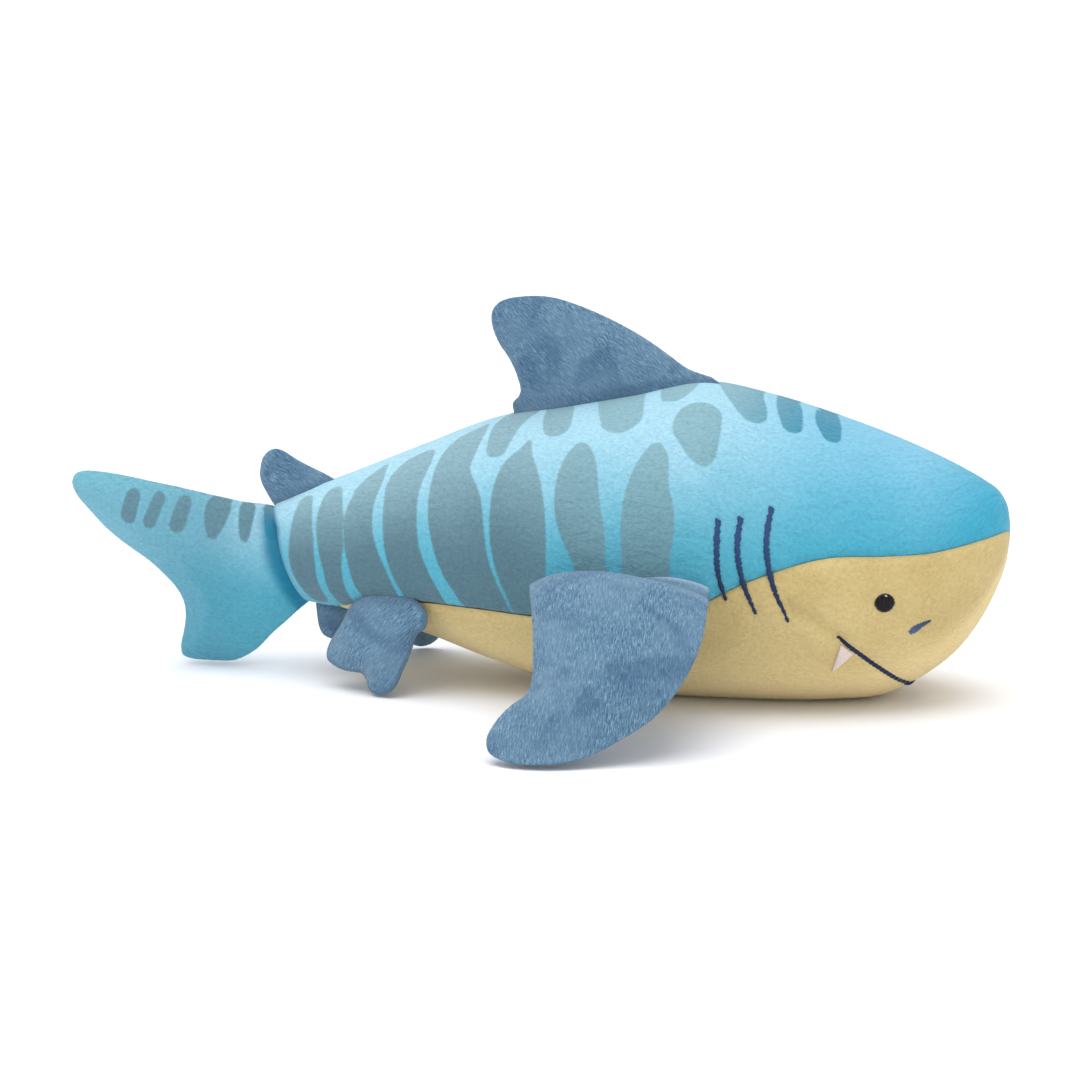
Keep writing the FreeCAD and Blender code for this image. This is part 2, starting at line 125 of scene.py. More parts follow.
# Embroidery on the right side: centre line (x, z) and thread width.
GILLS = {
    "gill_rear": [(90.2, 86, 2.5), (90, 76, 2.6), (91, 64, 2.2), (94.5, 52.5, 1.2)],
    "gill_middle": [(99.5, 87, 2.5), (98.6, 76, 2.6), (101, 62, 2.2), (107, 47, 1.2)],
    "gill_front": [(112, 91, 2.4), (110.6, 78, 2.6), (113, 62.5, 2.2), (120.5, 44, 1.2)],
}
NOSTRIL = [(170.6, 37.5, 2.0), (172.0, 38.4, 3.3), (174.8, 40.1, 2.6), (179.2, 42.3, 0.9)]
MOUTH = [
    (140.8, 36.6, 1.4), (146.5, 31.8, 2.0), (152.5, 26.2, 2.1), (159.5, 19.8, 2.1), (166.5, 12.6, 2.1),
    (168.6, 10.4, 2.1),
]
TOOTH = [(142.2, 33.0), (147.2, 29.4), (138.2, 20.4)]
EYE = (160.0, 51.2, 4.1)
GLINTS = [(160.3, 54.3), (163.7, 49.4)]

# Dents that the face's stitches pull: x, z, depth, reach, and how far from the middle they start.
ROUND_DENTS = [(EYE[0], EYE[1], 0.9, 6.0, 20.0), (NOSTRIL[2][0], NOSTRIL[2][1], 0.8, 4.5, 15.0)]
MOUTH_FOLD = [(121, 50), (128, 45.5), (135, 41), (142, 36)]
CHIN = (196.0, 36.0)
FACE_Y = 20.0
# Stitches are tubes of this many sides; their radius is this share of their pitch, so they overlap.
STITCH_SIDES, STITCH_RADIUS = 6, 0.62
TOOTH_STEPS, TOOTH_LIFTS = 9, (0.1, 1.5)
SIDES = (("right", False), ("left", True))
FLIP = np.array([1.0, -1.0, 1.0])

# Fin outlines: (along the seam, away from the seam).
DORSAL = [
    (-2, -3.5), (-1.6, 0.6), (1, 1.8), (2.8, 4.5), (2.2, 9.2), (1.2, 14.6), (-0.6, 20.3), (-3.2, 26),
    (-4.6, 31.4), (-5, 37), (-3.8, 41.6), (0, 45), (5.1, 46.2), (11.6, 46.1), (18, 45.4), (25, 43.6),
    (32.4, 40.2), (40, 36), (50.2, 29.3), (59, 22.6), (66, 16.4), (72.4, 10), (78.5, 4), (84, 0.9),
    (88.5, -1.4), (90.5, -3.5),
]
REAR_DORSAL = [
    (-4.8, -3.5), (-5.4, 0.3), (-5.9, 4.3), (-6.1, 8.2), (-5.4, 12), (-3.4, 15.6), (-0.8, 18.8),
    (3.6, 20.9), (7, 20.6), (9.6, 18.6), (13.6, 13.2), (18.4, 7.4), (23.8, 1.4), (27.5, -3.5),
]
ANAL = [
    (0, -3), (1.2, 4), (2.4, 8.5), (5, 12.6), (9, 14), (13.5, 13), (18.5, 9.6), (23, 5), (27.5, -3),
]
PELVIC = [
    (12, -3), (6.5, 1.5), (4, 7), (1.6, 12), (-1.2, 17), (-3, 22.6), (-2.4, 26.6), (2, 29.6), (8, 31.6),
    (14, 32.2), (18, 33), (20, 36), (22.6, 39.4), (27.5, 41), (32.6, 39.6), (36.6, 35.6), (38.4, 30),
    (40.6, 24), (42.2, 18), (43.8, 12.4), (47, 9.6), (47.4, 3.6), (44, -1), (38, -4), (25, -5),
]
# The pectoral fin is cut flat like the others, then bent over an arch.
PECTORAL = [
    (16, -3), (12.6, 1), (11.8, 9), (12.4, 20), (14.6, 34), (17.4, 51), (19.2, 66), (20, 76), (19, 81.5),
    (14, 88), (9, 96), (6.4, 104), (8.2, 110.4), (14, 114.6), (23.5, 117), (34, 116.6), (47, 112.4),
    (61.5, 103), (77, 89.2), (87, 72), (91.8, 52), (91.8, 34), (90.4, 20), (88.6, 9), (86.4, 1), (83, -3),
]
PECTORAL_ARCH = [
    (-56.5, 44.6), (-60.2, 48.2), (-67.4, 55), (-78, 60.2), (-92, 57.4), (-106, 46), (-118, 33),
    (-128, 20), (-136.5, 9.3), (-141.4, 4.6), (-146, 2.4), (-151, 1.5), (-157, 1.2),
]
TAIL = [
    (-116, 75), (-123.5, 76), (-130, 76.6), (-136.4, 77.9), (-149.3, 80.6), (-162.3, 83.3),
    (-175.3, 85.7), (-188.4, 88), (-197, 89), (-204, 89.3), (-209, 87.8), (-211.2, 83), (-209.6, 78),
    (-203.2, 69.6), (-196.4, 61.8), (-189.8, 55.8), (-183.2, 50.6), (-176.8, 45.6), (-170.5, 39.6),
    (-164.6, 32.8), (-161.6, 27), (-160.6, 21), (-160.9, 14), (-161.8, 6), (-160.6, 1.6), (-156, 0.2),
    (-149, 0.1), (-142, 0.3), (-136, 0.8), (-130.5, 3.2), (-124.4, 7.4), (-117.8, 14.4), (-111.2, 20.6),
    (-104.6, 27), (-99.6, 31.4),
]
TAIL_STRIPES = [
    [(-180.2, 77.5, 3.4), (-182, 69, 3.7)],
    [(-168.2, 76.8, 2.9), (-171.8, 66.8, 3.1)],
    [(-156.6, 74.8, 3.4), (-159, 66, 3.7)],
    [(-141.2, 73, 5.8), (-142, 68, 4.8), (-142.8, 62.4, 2.6)],
    [(-128, 73.6, 3.6), (-128.3, 66, 3.0), (-128.4, 60.5, 1.9)],
    [(-116.6, 72.5, 4.2), (-115.4, 63.5, 4.0)],
    [(-171.4, 86.5, 3.4), (-170, 89, 3.4)],
    [(-160, 84, 3.0), (-158.5, 87, 3.0)],
    [(-149, 81.8, 2.8), (-147.5, 85, 2.8)],
    [(-135.5, 79.6, 2.6), (-134, 83, 2.6)],
]

# Half thicknesses of the stuffed pads, and the spacing of their points.
TAIL_THICK, PELVIC_THICK, PECTORAL_THICK = 11.5, 6.0, 9.0
COARSE, MEDIUM = 2.6, 2.0
SEWN = 1e-3  # points nearer the outline than this belong to both sheets
# The pads are simulated larger than life; then this share of the motion and of the swelling is kept.
SIM_SCALE, SIM_FRAMES = 4.0, 20
KEPT_MOTION, KEPT_SWELLING = 0.22, 0.75
CLOTH = {
    "quality": 6, "mass": 0.25, "use_pressure": True, "uniform_pressure_force": 4.0,
    "tension_stiffness": 18.0, "compression_stiffness": 18.0, "shear_stiffness": 8.0,
    "bending_stiffness": 0.6,
}

# Root seams: rear end and front end of each line.
DORSAL_ROOT = ((-6.0, 0.0, 122.7), (81.0, 0.0, 137.6))
REAR_DORSAL_ROOT = ((-112.5, 0.0, 77.3), (-84.0, 0.0, 89.6))
ANAL_ROOT = ((-98.0, 0.0, 30.9), (-71.0, 0.0, 27.6))
PELVIC_ROOT = ((-81.0, -21.6, 39.0), (-41.0, -35.9, 40.5))
# The way from a pelvic seam out to its hinge, and the way that fin hangs.
PELVIC_LIFT, PELVIC_HANG = (0.0, -0.87, -0.5), (0.0, -0.34, -0.94)
# A span by a pectoral fin's root, and how much of its arch lies inside the torso.
PECTORAL_SPAN, ARCH_START = ((50.0, -57.0, 45.0), (50.0, -72.0, 55.0)), 4.7
# How far a hinge lies outside its seam, and how far above the floor the lowest fabric stays.
AXIS_LIFT, FLOOR_GAP = 2.1, 0.1

# Light, floor and camera; the camera's place and target are in metres.
WORLD_STRENGTH, SUN_STRENGTH, SUN_WIDTH = 0.86, 1.75, 55.0
FLOOR_HALF_SIZE = 60000.0
CAMERA_PLACE, CAMERA_TARGET, LENS = (0.24251, -1.34861, 0.35417), (0.004718, 0.0, 0.06308), 105.5


# ---- numbers
def unit(v):
    """The vector at length one."""
    v = np.array(v, float)
    return v / np.linalg.norm(v)


def spline(points, count, closed=False):
    """Points evenly spread along a smooth curve through the given ones."""
    p = np.array(points, float)
    if closed:
        p = np.vstack([p[-2:], p, p[:2]])
    gaps = np.linalg.norm(np.diff(p, axis=0), axis=1)
    u = np.concatenate([[0.0], np.cumsum(gaps)])
    slope = np.gradient(p, u, axis=0)
    first, last = (u[2], u[-2]) if closed else (u[0], u[-1])
    at = np.linspace(first, last, count + 1)[:-1] if closed else np.linspace(first, last, count)
    i = np.clip(np.searchsorted(u, at, side="right") - 1, 0, len(u) - 2)
    h = (u[i + 1] - u[i])[:, None]
    t = (at[:, None] - u[i][:, None]) / h
    return ((2 * t**3 - 3 * t**2 + 1) * p[i] + (t**3 - 2 * t**2 + t) * h * slope[i]
            + (-2 * t**3 + 3 * t**2) * p[i + 1] + (t**3 - t**2) * h * slope[i + 1])


def smoothstep(low, high, value):
    """0 below low, 1 above high, smooth between."""
    t = np.clip((np.asarray(value, float) - low) / (high - low), 0.0, 1.0)
    return t * t * (3.0 - 2.0 * t)


def bell(value, width):
    """1 at zero, falling smoothly towards 0 by about twice the width."""
    return np.exp(-((value / width) ** 2))


def line_distance(x, z, line, count):
    """Distance in the x-z plane to a smooth curve, taken at count of its points."""
    return np.min([np.hypot(x - a, z - b) for a, b, *_ in spline(line, count)], axis=0)


def stripe_distance(points, stripes, stretch):
    """Distance in mm outside the nearest stripe, negative inside; points are (along, across)."""
    best = np.full(len(points), 50.0)
    stretch = np.broadcast_to(stretch, len(points))
    for stripe in stripes:
        line = spline(stripe, 24)
        for a, b in zip(line[:-1], line[1:]):
            step = np.stack([np.full(len(points), b[0] - a[0]), (b[1] - a[1]) * stretch], 1)
            away = np.stack([points[:, 0] - a[0], (points[:, 1] - a[1]) * stretch], 1)
            t = np.clip((away * step).sum(1) / (step * step).sum(1), 0.0, 1.0)
            distance = np.linalg.norm(away - step * t[:, None], axis=1) - (a[2] + (b[2] - a[2]) * t)
            best = np.minimum(best, distance)
    return best


# ---- meshes
def new_mesh(name, vertices, faces, material, attributes=None, smooth=True):
    """An object from vertices in mm, with named vertex attributes."""
    mesh = bpy.data.meshes.new(name)
    mesh.from_pydata((np.asarray(vertices, float) * MM).tolist(), [], faces)
    mesh.update()
    if smooth:
        mesh.shade_smooth()
    for key, values in (attributes or {}).items():
        set_attribute(mesh, key, values)
    obj = bpy.data.objects.new(name, mesh)
    bpy.context.scene.collection.objects.link(obj)
    obj.data.materials.append(material)
    return obj


def set_attribute(mesh, key, values):
    """Store a float or a vector per vertex."""
    values = np.asarray(values, np.float32)
    if values.ndim == 1:
        mesh.attributes.new(key, "FLOAT", "POINT").data.foreach_set("value", values)
    else:
        mesh.attributes.new(key, "FLOAT_VECTOR", "POINT").data.foreach_set("vector", values.ravel())


def mirrored(points, faces):
    """The left side's copy of a right-hand mesh."""
    return points * FLIP, [tuple(reversed(f)) for f in faces]


def grid_faces(rows, columns, wrap=False):
    """Quads of a rows x columns grid of vertices."""
    faces = []
    last = columns if wrap else columns - 1
    for r in range(rows - 1):
        for c in range(last):
            a, b = r * columns + c, r * columns + (c + 1) % columns
            faces.append((a, b, b + columns, a + columns))
    return faces


# ---- shading
class Shader:
    """Builds one node material with short calls."""

    def __init__(self, name):
        self.material = bpy.data.materials.new(name)
        self.material.use_nodes = True
        self.tree = self.material.node_tree
        self.tree.nodes.clear()
        self.surface = self.add("ShaderNodeBsdfPrincipled")
        output = self.add("ShaderNodeOutputMaterial")
        self.link(self.surface.outputs[0], output.inputs[0])

    def add(self, kind, **settings):
        """A new node with its properties set."""
        node = self.tree.nodes.new(kind)
        for key, value in settings.items():
            setattr(node, key, value)
        return node

    def link(self, source, target):
        """Join two sockets, or set a constant."""
        if isinstance(source, (int, float, tuple)):
            target.default_value = source
        else:
            self.tree.links.new(source, target)

    def attribute(self, name, vector=False):
        """A vertex attribute's socket."""
        node = self.add("ShaderNodeAttribute", attribute_name=name)
        return node.outputs["Vector" if vector else "Fac"]

    def math(self, operation, a, b=0.0):
        """One arithmetic step."""
        node = self.add("ShaderNodeMath", operation=operation)
        self.link(a, node.inputs[0])
        self.link(b, node.inputs[1])
        return node.outputs[0]

    def span(self, value, low, high, to_low=0.0, to_high=1.0):
        """Map a range to another, smoothly and clamped."""
        node = self.add("ShaderNodeMapRange", interpolation_type="SMOOTHSTEP")
        for socket, source in zip(node.inputs, (value, low, high, to_low, to_high)):
            self.link(source, socket)
        return node.outputs[0]

    def scaled(self, vector, scale):
        """The vector multiplied per axis."""
        node = self.add("ShaderNodeVectorMath", operation="MULTIPLY")
        self.link(vector, node.inputs[0])
        node.inputs[1].default_value = scale
        return node.outputs[0]

    def noise(self, vector, scale, detail=3.0, rough=0.5, distortion=0.0):
        """Noise from 0 to 1."""
        node = self.add("ShaderNodeTexNoise")
        self.link(vector, node.inputs["Vector"])
        node.inputs["Scale"].default_value = scale
        node.inputs["Detail"].default_value = detail
        node.inputs["Roughness"].default_value = rough
        node.inputs["Distortion"].default_value = distortion
        return node.outputs["Fac"]

    def mix(self, factor, a, b, blend="MIX"):
        """Mix two colours."""
        node = self.add("ShaderNodeMix", data_type="RGBA", blend_type=blend)
        self.link(factor, node.inputs["Factor"])
        for source, index in ((a, 6), (b, 7)):
            self.link(source, node.inputs[index])
        return node.outputs[2]

    def bump(self, height, strength, distance, normal=None):
        """A bump from a height."""
        node = self.add("ShaderNodeBump")
        node.inputs["Strength"].default_value = strength
        node.inputs["Distance"].default_value = distance
        self.link(height, node.inputs["Height"])
        if normal is not None:
            self.link(normal, node.inputs["Normal"])
        return node.outputs[0]

    def finish(self, colour, rough, normal, sheen=0.0, sheen_rough=0.4, sheen_tint=(1.0, 1.0, 1.0, 1.0)):
        """Set the surface."""
        s = self.surface.inputs
        self.link(colour, s["Base Color"])
        s["Roughness"].default_value = rough
        s["Specular IOR Level"].default_value = 0.25
        s["Sheen Weight"].default_value = sheen
        s["Sheen Roughness"].default_value = sheen_rough
        s["Sheen Tint"].default_value = sheen_tint
        if normal is not None:
            self.link(normal, s["Normal"])
        return self.material


def srgb(r, g, b):
    """A colour picked in 0..255 display values, as a linear colour."""
    linear = [(c / 255.0 / 12.92) if c <= 10 else (((c / 255.0) + 0.055) / 1.055) ** 2.4 for c in (r, g, b)]
    return (*linear, 1.0)


def pile_height(shader, flat):
    """Clumps and single fibres of a pile brushed along the first axis."""
    drawn = shader.scaled(flat, (0.8, 1.0, 1.0))
    return shader.noise(drawn, 0.7, 3.0, 0.6, 0.6), shader.noise(drawn, 3.2, 2.0, 0.7)


def blue_plush():
    """Striped blue pile of the back, lighter towards the spine and deeper towards the nose, with painted
    shade where the torso's end meets the tail.
    """
    s = Shader("blue_plush")
    flat, high, ahead = s.attribute("flat", True), s.attribute("high"), s.attribute("ahead")
    drift = s.noise(flat, 0.03, 2.0, 0.5)
    high_soft = s.math("ADD", high, s.math("MULTIPLY", s.math("SUBTRACT", drift, 0.5), 0.3))
    body = s.mix(s.span(high_soft, 0.1, 0.85), srgb(90, 182, 206), srgb(170, 216, 235))
    head = s.mix(s.span(high_soft, 0.15, 1.0), srgb(64, 172, 200), srgb(126, 195, 224))
    body = s.mix(s.span(ahead, 70.0, 150.0), body, head)
    body = s.mix(s.span(ahead, 165.0, 212.0), body, srgb(50, 168, 200))
    body = s.mix(s.span(ahead, -150.0, -112.0, 0.75, 0.0), body, srgb(84, 158, 180))
    body = s.mix(s.span(ahead, -205.0, -150.0, 0.6, 0.0), body, srgb(122, 190, 208))
    stripe_low = s.mix(s.span(high_soft, 0.1, 0.9), srgb(90, 120, 132), srgb(136, 172, 184))
    stripe_low = s.mix(s.span(ahead, -5.0, 50.0, 0.0, 0.55), stripe_low, srgb(134, 180, 192))
    stripe_low = s.mix(s.span(ahead, -122.0, -112.0, 1.0, 0.0), stripe_low, srgb(98, 136, 150))
    stripe = s.mix(s.span(ahead, 78.0, 128.0), stripe_low, srgb(48, 136, 166))
    clumps, fibres = pile_height(s, flat)
    edge = s.math("ADD", s.attribute("stripe"), s.math("MULTIPLY", s.math("SUBTRACT", fibres, 0.5), 1.6))
    colour = s.mix(s.span(edge, -0.5, 0.6, 0.92, 0.0), body, stripe)
    colour = nap_shade(s, colour, clumps, fibres, (0.77, 0.81, 0.84, 1.0), (1.07, 1.06, 1.04, 1.0))
    # Painted shade: a dark teal where the torso's end folds against the tail.
    colour = s.mix(s.span(s.attribute("crease_shade"), 0.0, 1.0, 0.0, 0.9), colour, srgb(4, 128, 162))
    return s.finish(colour, 0.85, nap_bump(s, clumps, fibres), 0.35, 0.45, (0.85, 0.96, 1.0, 1.0))


def cream_plush():
    """Cream pile of the belly, lighter towards its bottom as painted light."""
    s = Shader("cream_plush")
    flat = s.attribute("flat", True)
    clumps, fibres = pile_height(s, flat)
    drift = s.noise(flat, 0.025, 2.0, 0.5)
    colour = s.mix(s.span(drift, 0.35, 0.65), srgb(206, 184, 126), srgb(216, 196, 138))
    # Painted light: the cream is lighter towards the bottom of the belly, as if more light reached it
    # there.
    colour = s.mix(s.span(s.attribute("low"), 0.0, 1.0), colour, srgb(236, 214, 154))
    colour = nap_shade(s, colour, clumps, fibres, (0.85, 0.83, 0.79, 1.0), (1.05, 1.04, 1.03, 1.0))
    return s.finish(colour, 0.85, nap_bump(s, clumps, fibres), 0.3, 0.45, (1.0, 0.97, 0.88, 1.0))


def nap_shade(shader, colour, clumps, fibres, dark, bright):
    """The colour varied by the nap."""
    shade = shader.math("ADD", shader.math("MULTIPLY", clumps, 0.5), shader.math("MULTIPLY", fibres, 0.5))
    return shader.mix(1.0, colour, shader.mix(shader.span(shade, 0.34, 0.62), dark, bright), "MULTIPLY")


def nap_bump(shader, clumps, fibres):
    """Bump of the nap."""
    height = shader.math("ADD", shader.math("MULTIPLY", clumps, 0.8), shader.math("MULTIPLY", fibres, 0.4))
    fine = shader.bump(height, 0.7, 0.0011)
    drawn = shader.scaled(shader.attribute("flat", True), (0.55, 1.0, 1.0))
    rumple = shader.noise(drawn, 0.16, 3.0, 0.6, 0.8)
    return shader.bump(rumple, 0.35, 0.004, fine)


def denim_plush():
    """Heathered blue pile of the fins, streaked along the way it was brushed; painted shade darkens it by
    the root seam and in the fold's hollow, and a painted highlight lightens the fold's crest.
    """
    s = Shader("denim_plush")
    flat = s.attribute("flat", True)
    streaks = s.noise(s.scaled(flat, (1.0, 0.15, 1.0)), 1.7, 3.0, 0.7, 0.3)
    fibres = s.noise(s.scaled(flat, (1.0, 0.18, 1.0)), 3.8, 2.0, 0.7, 0.3)
    blotch = s.noise(flat, 0.04, 2.0, 0.5)
    sweep = s.noise(s.scaled(flat, (0.6, 1.0, 1.0)), 0.05, 2.0, 0.5, 1.0)
    tone = s.math("ADD", s.math("MULTIPLY", streaks, 0.6), s.math("MULTIPLY", fibres, 0.4))
    colour = s.mix(s.span(tone, 0.36, 0.52), srgb(56, 90, 119), srgb(92, 129, 156))
    colour = s.mix(s.span(tone, 0.5, 0.66), colour, srgb(150, 179, 200))
    colour = s.mix(s.span(blotch, 0.38, 0.62, 0.0, 0.4), colour, srgb(116, 148, 172))
    colour = s.mix(s.span(sweep, 0.3, 0.52, 0.45, 0.0), colour, srgb(56, 92, 126))
    # Painted shade: darker by the root seam and in the fold's hollow.
    colour = s.mix(s.span(s.attribute("crease_shade"), 0.0, 1.0, 0.0, 0.8), colour, srgb(38, 66, 98))
    # Painted highlight on the fold's crest.
    colour = s.mix(s.span(s.attribute("ridge_and_highlight"), 0.15, 1.0, 0.0, 0.55), colour, srgb(184, 205, 220))
    normal = s.bump(sweep, 0.3, 0.004, s.bump(tone, 0.7, 0.001))
    return s.finish(colour, 0.85, normal, 0.35, 0.4, (0.86, 0.94, 1.0, 1.0))


def thread(name, dark, bright, gloss=0.42):
    """Embroidery thread; bright shows towards the top of a line."""
    s = Shader(name)
    tint = s.attribute("tint")
    wobble = s.noise(s.attribute("flat", True), 1.6, 2.0, 0.6)
    colour = s.mix(s.span(s.math("ADD", tint, s.math("MULTIPLY", wobble, 0.3)), 0.3, 1.0), dark, bright)
    normal = s.bump(s.noise(s.scaled(s.attribute("flat", True), (6.0, 0.8, 6.0)), 4.0, 1.0), 0.3, 0.0002)
    return s.finish(colour, gloss, normal, 0.25, 0.3)


def felt():
    """Pale pink felt of the teeth."""
    s = Shader("pale_felt")
    flat = s.attribute("flat", True)
    fibres = s.noise(flat, 2.6, 4.0, 0.7, 1.2)
    colour = s.mix(s.span(fibres, 0.35, 0.65), srgb(222, 200, 192), srgb(242, 230, 224))
    return s.finish(colour, 0.95, s.bump(fibres, 0.7, 0.0006), 0.3, 0.5)


def floor_paper():
    """Plain white floor."""
    s = Shader("floor")
    return s.finish((0.915, 0.915, 0.955, 1.0), 0.9, None)


BLUE = blue_plush()
CREAM = cream_plush()
DENIM = denim_plush()
NAVY = thread("navy_thread", srgb(34, 50, 82), srgb(46, 78, 126))
NOSTRIL_BLUE = thread("nostril_thread", srgb(58, 78, 112), srgb(82, 106, 140))
MOUTH_NAVY = thread("mouth_thread", srgb(26, 38, 74), srgb(34, 50, 92))
BLACK = thread("black_thread", srgb(10, 10, 14), srgb(22, 22, 28), 0.35)
GLINT = thread("glint_thread", srgb(170, 190, 205), srgb(200, 214, 224))
FELT = felt()


# ---- torso
ROWS = spline(TORSO, STATION_COUNT)


def power(value, exponent):
    """A signed power."""
    return np.sign(value) * np.abs(value) ** exponent


def section(rows, angle):
    """Points of torso sections; rows and angle broadcast together. Angle 0 is the belly."""
    x, top, bottom, half = (rows[..., i] for i in range(4))
    widest = bottom + WIDEST * (top - bottom)
    below = np.cos(angle) > 0
    rounding = np.where(below, LOWER_ROUND, UPPER_ROUND)
    reach = np.where(below, widest - bottom, top - widest)
    y = -half * power(np.sin(angle), 2.0 / rounding)
    z = widest - reach * power(np.cos(angle), 2.0 / rounding)
    return np.stack([x - smoothstep(TILT_START, TAIL_X, x) * crease_back(z), y, z], -1)


def crease_back(z):
    """How far behind TAIL_X the end of the torso is at height z."""
    level = z - TAIL_MID
    bulge = np.clip(1.0 - ((level - BULGE_LEVEL) / BULGE_REACH) ** 2, 0.0, 1.0)
    return CREASE_TILT * level + CREASE_BULGE * bulge


def seam_angles(rows):
    """Angle of the side seam at every station."""
    top, bottom, seam = rows[:, 1], rows[:, 2], rows[:, 4]
    widest = bottom + WIDEST * (top - bottom)
    low = np.clip((widest - seam) / (widest - bottom), 0.0, 1.0) ** (LOWER_ROUND / 2.0)
    high = np.clip((seam - widest) / (top - widest), 0.0, 1.0) ** (UPPER_ROUND / 2.0)
    return np.where(seam < widest, np.arccos(low), math.pi - np.arccos(high))


def dents(points):
    """How far the skin is drawn in, in mm, by stitches and by the fold behind the mouth corner."""
    x, y, z = points[..., 0], np.abs(points[..., 1]), points[..., 2]
    near = line_distance(x, z, MOUTH_FOLD, 20)
    depth = np.where(y > FACE_Y, 1.7 * bell(near, 2.3) - 0.8 * bell(near - 6.0, 4.0), 0.0)
    depth += 0.9 * bell(line_distance(x, z, [p[:2] for p in MOUTH], 40), 2.6)
    for line in GILLS.values():
        depth += np.where(y > FACE_Y, 0.5 * bell(line_distance(x, z, line, 24), 3.2), 0.0)
    for a, b, deep, reach, beyond in ROUND_DENTS:
        depth += np.where(y > beyond, deep * bell(np.hypot(x - a, z - b), reach), 0.0)
    chin = np.hypot((x - CHIN[0]) / 1.6, z - CHIN[1])
    depth += np.where(y > 6.0, 0.6 * bell(chin, 3.2), 0.0)
    return depth


def skin(rows, angle, groove=0.0):
    """Visible surface of the torso, drawn in by groove mm and the dents."""
    points = section(rows, angle)
    middle = (section(rows, np.zeros_like(angle)) + section(rows, np.full_like(angle, math.pi))) * 0.5
    inward = middle - points
    inward /= np.maximum(np.linalg.norm(inward, axis=-1, keepdims=True), 1e-6)
    points = points + inward * (groove + dents(points))[..., None]
    points[..., 2] = np.maximum(points[..., 2], 0.0)
    return points


def panel(name, start, end, count, material, mirror):
    """One sewn panel of the torso between two angles, with its edges tucked into the seams."""
    rows = np.repeat(ROWS[:, None, :], count, axis=1)
    share = np.linspace(0.0, 1.0, count)
    share = share - CROWDING * np.sin(2 * math.pi * share)
    angle = start[:, None] + (end - start)[:, None] * share[None, :]
    base = section(rows, angle)
    steps = np.linalg.norm(np.diff(base, axis=1), axis=2)
    arc = np.concatenate([np.zeros((len(ROWS), 1)), np.cumsum(steps, axis=1)], axis=1)
    girth = arc[:, -1:]
    groove = seam_groove(base[..., 0], arc, girth, material)
    points = skin(rows, angle, np.minimum(groove, girth * MOST_GROOVE))
    if mirror:
        points = points * FLIP
    degrees = np.degrees(angle)
    stretch = np.maximum(girth / np.maximum(np.degrees(end - start)[:, None], 5.0), 0.15)
    across = (degrees - 90.0) * stretch + (400.0 if mirror else 0.0)
    attributes = {
        "flat": np.stack([rows[..., 0], across, np.zeros_like(across)], -1).reshape(-1, 3),
        "high": smoothstep(0.0, 1.0, (degrees - 70.0) / 110.0).ravel(),
        "ahead": rows[..., 0].ravel(),
        # Painted light on the belly's bottom: the cream is mixed lighter where this is high.
        "low": smoothstep(80.0, 35.0, np.abs(degrees)).ravel(),
    }
    if material is BLUE:
        places = np.stack([base[..., 0].ravel(), degrees.ravel()], 1)
        attributes["stripe"] = stripe_distance(places, STRIPES, np.repeat(stretch, count, axis=1).ravel())
        # Painted shade along the torso's end, where it folds against the tail.
        attributes["crease_shade"] = smoothstep(-104.5, -109.5, rows[..., 0]).ravel()
    faces = grid_faces(len(ROWS), count)
    if not mirror:
        faces = [f[::-1] for f in faces]
    return new_mesh(name, points.reshape(-1, 3), faces, material, attributes)


def seam_groove(x, arc, girth, material):
    """How deep a panel lies, in mm, by the way from its lower edge and its upper edge."""
    upper_depth = SEAM_DEPTH if material is CREAM else SPINE_DEPTH
    groove = SEAM_DEPTH * bell(arc, SEAM_WIDTH) + upper_depth * bell(girth - arc, SEAM_WIDTH)
    groove += ROLL_DEPTH * np.exp(-arc / ROLL_WIDTH)
    pucker = np.sin(x * 0.83 + np.sin(x * 0.29) * 2.0)
    return groove + PUCKER_DEPTH * pucker * bell(arc - PUCKER_AWAY, PUCKER_WIDTH)


def build_torso():
    """The three panels of the torso, which also stand for its seams and its stuffing."""
    seam = np.maximum(seam_angles(ROWS), 0.02)
    top = np.full_like(seam, math.pi)
    panels = []
    for side, mirror in SIDES:
        obj = panel("back_panel_" + side + "_skin", seam, top, BACK_COUNT, BLUE, mirror)
        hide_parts("back_panel_" + side, "side_seam_" + side)
        panels.append(obj)
    obj = panel("belly_panel_skin", -seam, seam, BELLY_COUNT, CREAM, False)
    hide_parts("belly_panel", "body_stuffing", "back_seam")
    panels.append(obj)
    for obj in panels:
        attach(obj, "torso")


# ---- fins
def pad_mesh(outline, spacing):
    """One flat sheet inside an outline: points, faces and each point's distance to the edge."""
    edge = spline(outline, int(outline_length(outline) / spacing), closed=True)
    low, high = edge.min(axis=0), edge.max(axis=0)
    tangent = np.roll(edge, -1, axis=0) - np.roll(edge, 1, axis=0)
    inward = np.column_stack([-tangent[:, 1], tangent[:, 0]]) / np.linalg.norm(tangent, axis=1)[:, None]
    if not inside(edge[:1] + inward[:1] * 0.2, edge)[0]:
        inward = -inward
    ring = edge + inward * spacing * 0.9
    ring = ring[inside(ring, edge)]
    ring = ring[edge_distance(ring, edge) > spacing * 0.82]
    inner = []
    rows = int((high[1] - low[1]) / (spacing * 0.87)) + 1
    for r in range(rows):
        shift = spacing * 0.5 * (r % 2)
        for u in np.arange(low[0] + shift, high[0], spacing):
            inner.append((u, low[1] + r * spacing * 0.87))
    inner = np.array(inner)
    inner = inner[inside(inner, edge)]
    inner = inner[edge_distance(inner, edge) > spacing * 1.6]
    points = np.vstack([edge, ring, inner])
    loop = [(i, (i + 1) % len(edge)) for i in range(len(edge))]
    found = delaunay_2d_cdt([Vector(p) for p in points], loop, [list(range(len(edge)))], 1, 1e-4)
    flat = np.array([tuple(v) for v in found[0]])
    faces = [tuple(f) for f in found[2]]
    return flat, faces, edge_distance(flat, edge)


def outline_length(outline):
    """Length of a closed outline."""
    p = np.array(outline, float)
    return float(np.linalg.norm(p - np.roll(p, 1, axis=0), axis=1).sum())


